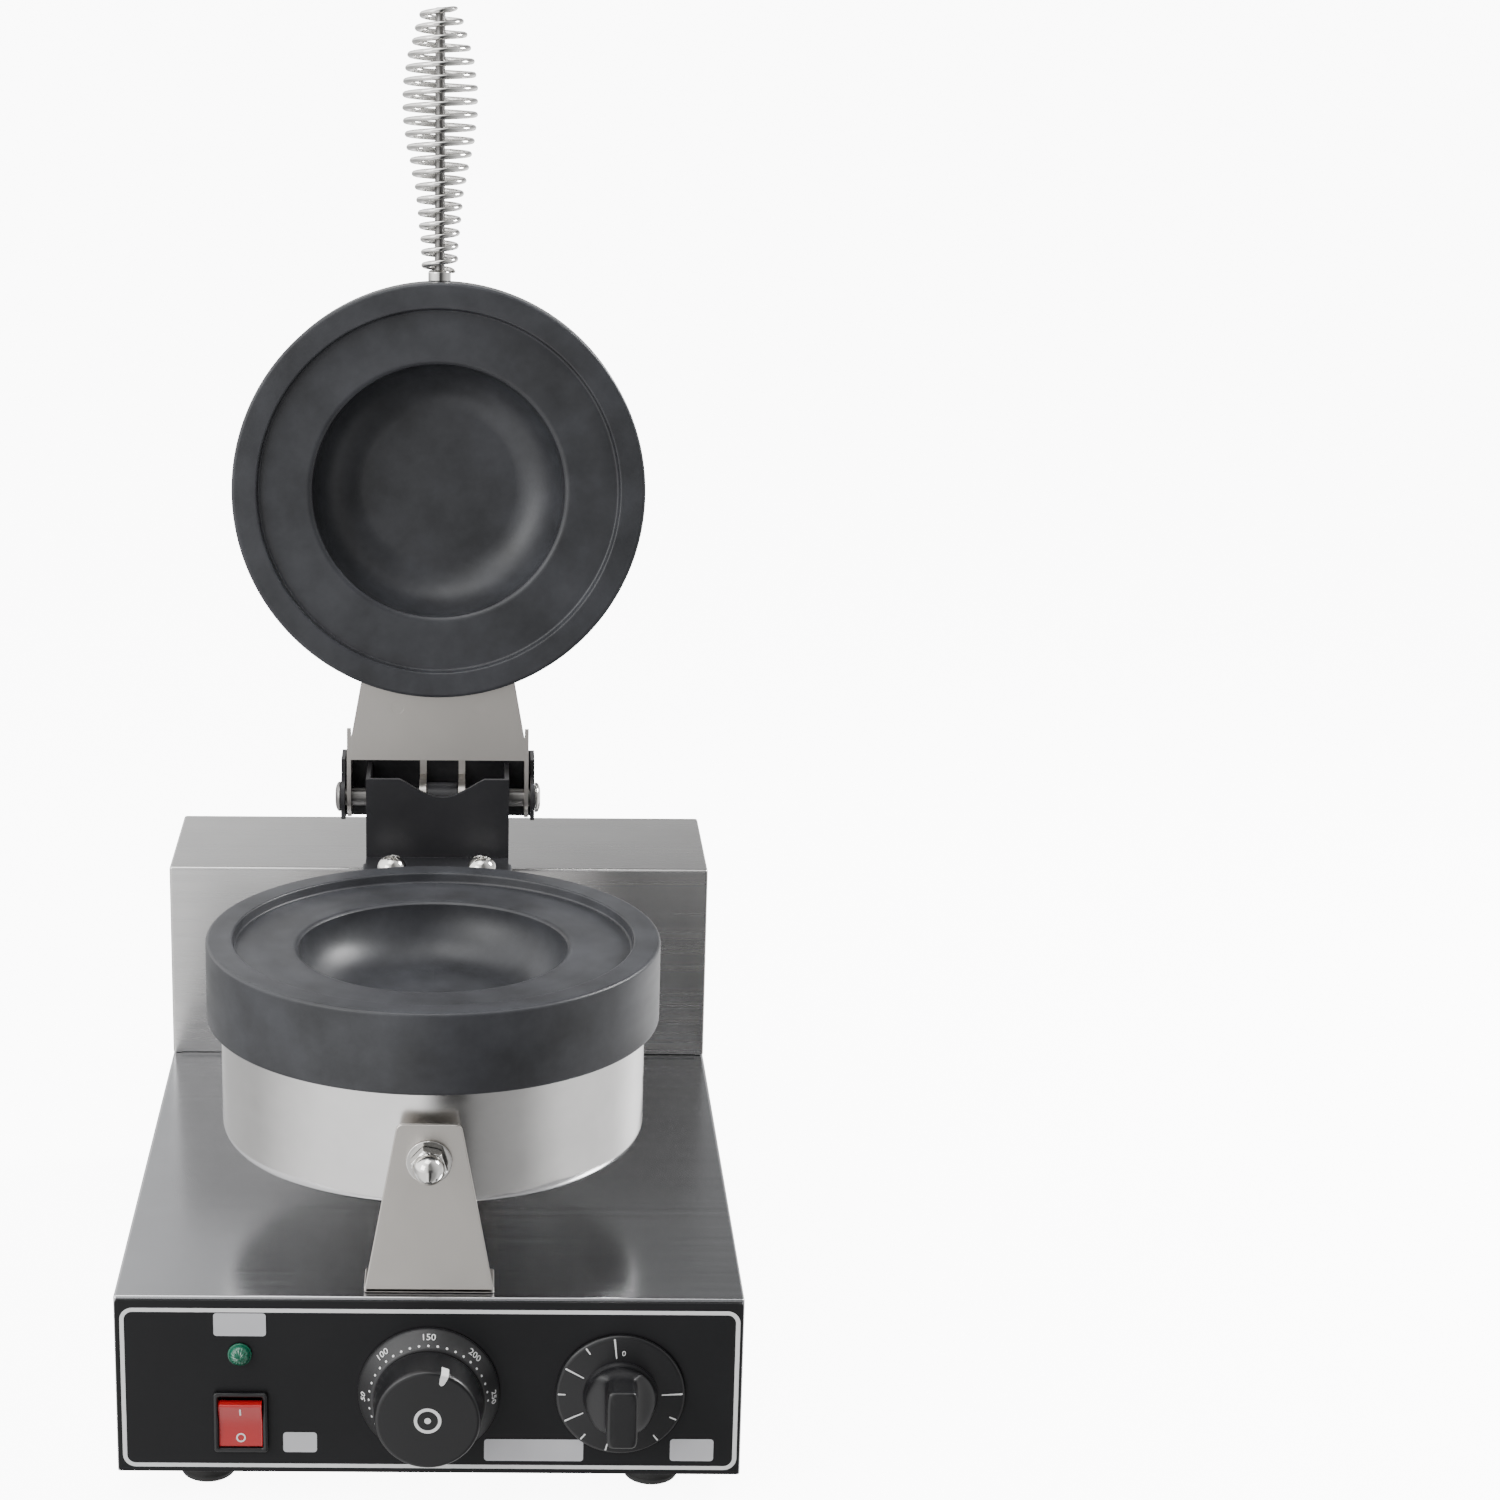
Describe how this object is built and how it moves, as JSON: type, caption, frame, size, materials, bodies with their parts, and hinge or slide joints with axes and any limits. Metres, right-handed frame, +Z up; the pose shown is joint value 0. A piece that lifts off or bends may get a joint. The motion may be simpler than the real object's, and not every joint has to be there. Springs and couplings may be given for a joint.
{
  "type": "donut maker",
  "caption": "Single-head electric press for filled waffle buns and donuts: a stainless steel box with dials, a fixed lower mould and a hinged upper mould with a coil handle.",
  "frame": {"origin": "centre of the bounding box's footprint, on the table under the feet", "axes": "+Z up, -Y towards the user and the control panel, +X to the user's right"},
  "size_m": [0.2544, 0.3894, 0.5681],
  "materials": {
    "brushed_steel": "fine brushed stainless sheet",
    "bright_steel": "bright drawn stainless",
    "chrome": "polished",
    "nonstick_aluminium": "dark grey non-stick coating on cast aluminium",
    "black_paint": "satin black coating",
    "panel_black": "satin black printed overlay with a white border",
    "black_plastic": "moulded, satin",
    "red_plastic": "gloss",
    "green_lens": "clear green",
    "rubber": "matte",
    "zinc_steel": "zinc plated",
    "mica": "mica sheet heater",
    "ceramic_wool": "ceramic fibre pad",
    "ceramic": "unglazed ceramic"
  },
  "bodies": {
    "base": {"base_plate": "zinc_steel", "foot_front_left": "rubber", "foot_front_right": "rubber", "foot_rear_left": "rubber", "foot_rear_right": "rubber", "foot_screw_front_left": "zinc_steel", "foot_screw_front_right": "zinc_steel", "foot_screw_rear_left": "zinc_steel", "foot_screw_rear_right": "zinc_steel", "front_acorn_nut": "chrome", "front_panel": "panel_black", "front_support_bracket": "brushed_steel", "front_support_stud": "zinc_steel", "front_washer": "chrome", "hinge_bracket": "black_paint", "hinge_bracket_screw_left": "chrome", "hinge_bracket_screw_right": "chrome", "hinge_pin": "chrome", "hinge_pin_cap": "chrome", "hinge_spacer": "zinc_steel", "housing": "brushed_steel", "lamp_holder": "black_plastic", "lamp_lens": "green_lens", "lid_lead_gland": "black_plastic", "lower_clamp_plate": "zinc_steel", "lower_heater": "mica", "lower_insulation": "ceramic_wool", "lower_lead_tube": "chrome", "lower_mould_plate": "nonstick_aluminium", "lower_shell": "bright_steel", "power_inlet_gland": "black_plastic", "rear_cover": "brushed_steel", "rear_cover_screw_left": "chrome", "rear_cover_screw_right": "chrome", "rear_support_bracket": "brushed_steel", "rear_support_stud": "zinc_steel", "switch_body": "black_plastic", "terminal_block": "ceramic", "thermostat_body": "zinc_steel", "thermostat_skirt": "black_plastic", "timer_body": "zinc_steel"},
    "lid": {"upper_mould_plate": "nonstick_aluminium", "upper_shell": "bright_steel", "upper_heater": "mica", "upper_clamp_plate": "zinc_steel", "upper_insulation": "ceramic_wool", "upper_hinge_bracket": "brushed_steel", "upper_bracket_screw_left": "chrome", "upper_bracket_screw_right": "chrome", "handle_rod": "chrome", "handle_coil": "chrome", "handle_ferrule": "chrome", "upper_lead_gland": "black_plastic"},
    "rocker": {"switch_rocker": "red_plastic"},
    "thermostat_dial": {"thermostat_shaft": "chrome", "thermostat_knob": "black_plastic"},
    "timer_dial": {"timer_shaft": "chrome", "timer_knob": "black_plastic"}
  },
  "joints": [
    {"name": "lid_hinge", "type": "hinge", "parent": "base", "child": "lid", "pos_m": [0, 0.0707, 0.222], "axis": [1, 0, 0], "range_deg": [0, 96]},
    {"name": "switch_rock", "type": "hinge", "parent": "base", "child": "rocker", "pos_m": [-0.075, -0.1668, 0.0333], "axis": [-1, 0, 0], "range_deg": [0, 20]},
    {"name": "thermostat_turn", "type": "hinge", "parent": "base", "child": "thermostat_dial", "pos_m": [0, -0.1693, 0.0467], "axis": [0, 1, 0], "range_deg": [-150, 120]},
    {"name": "timer_turn", "type": "hinge", "parent": "base", "child": "timer_dial", "pos_m": [0.0762, -0.1693, 0.0467], "axis": [0, 1, 0], "range_deg": [0, 300]}
  ]
}
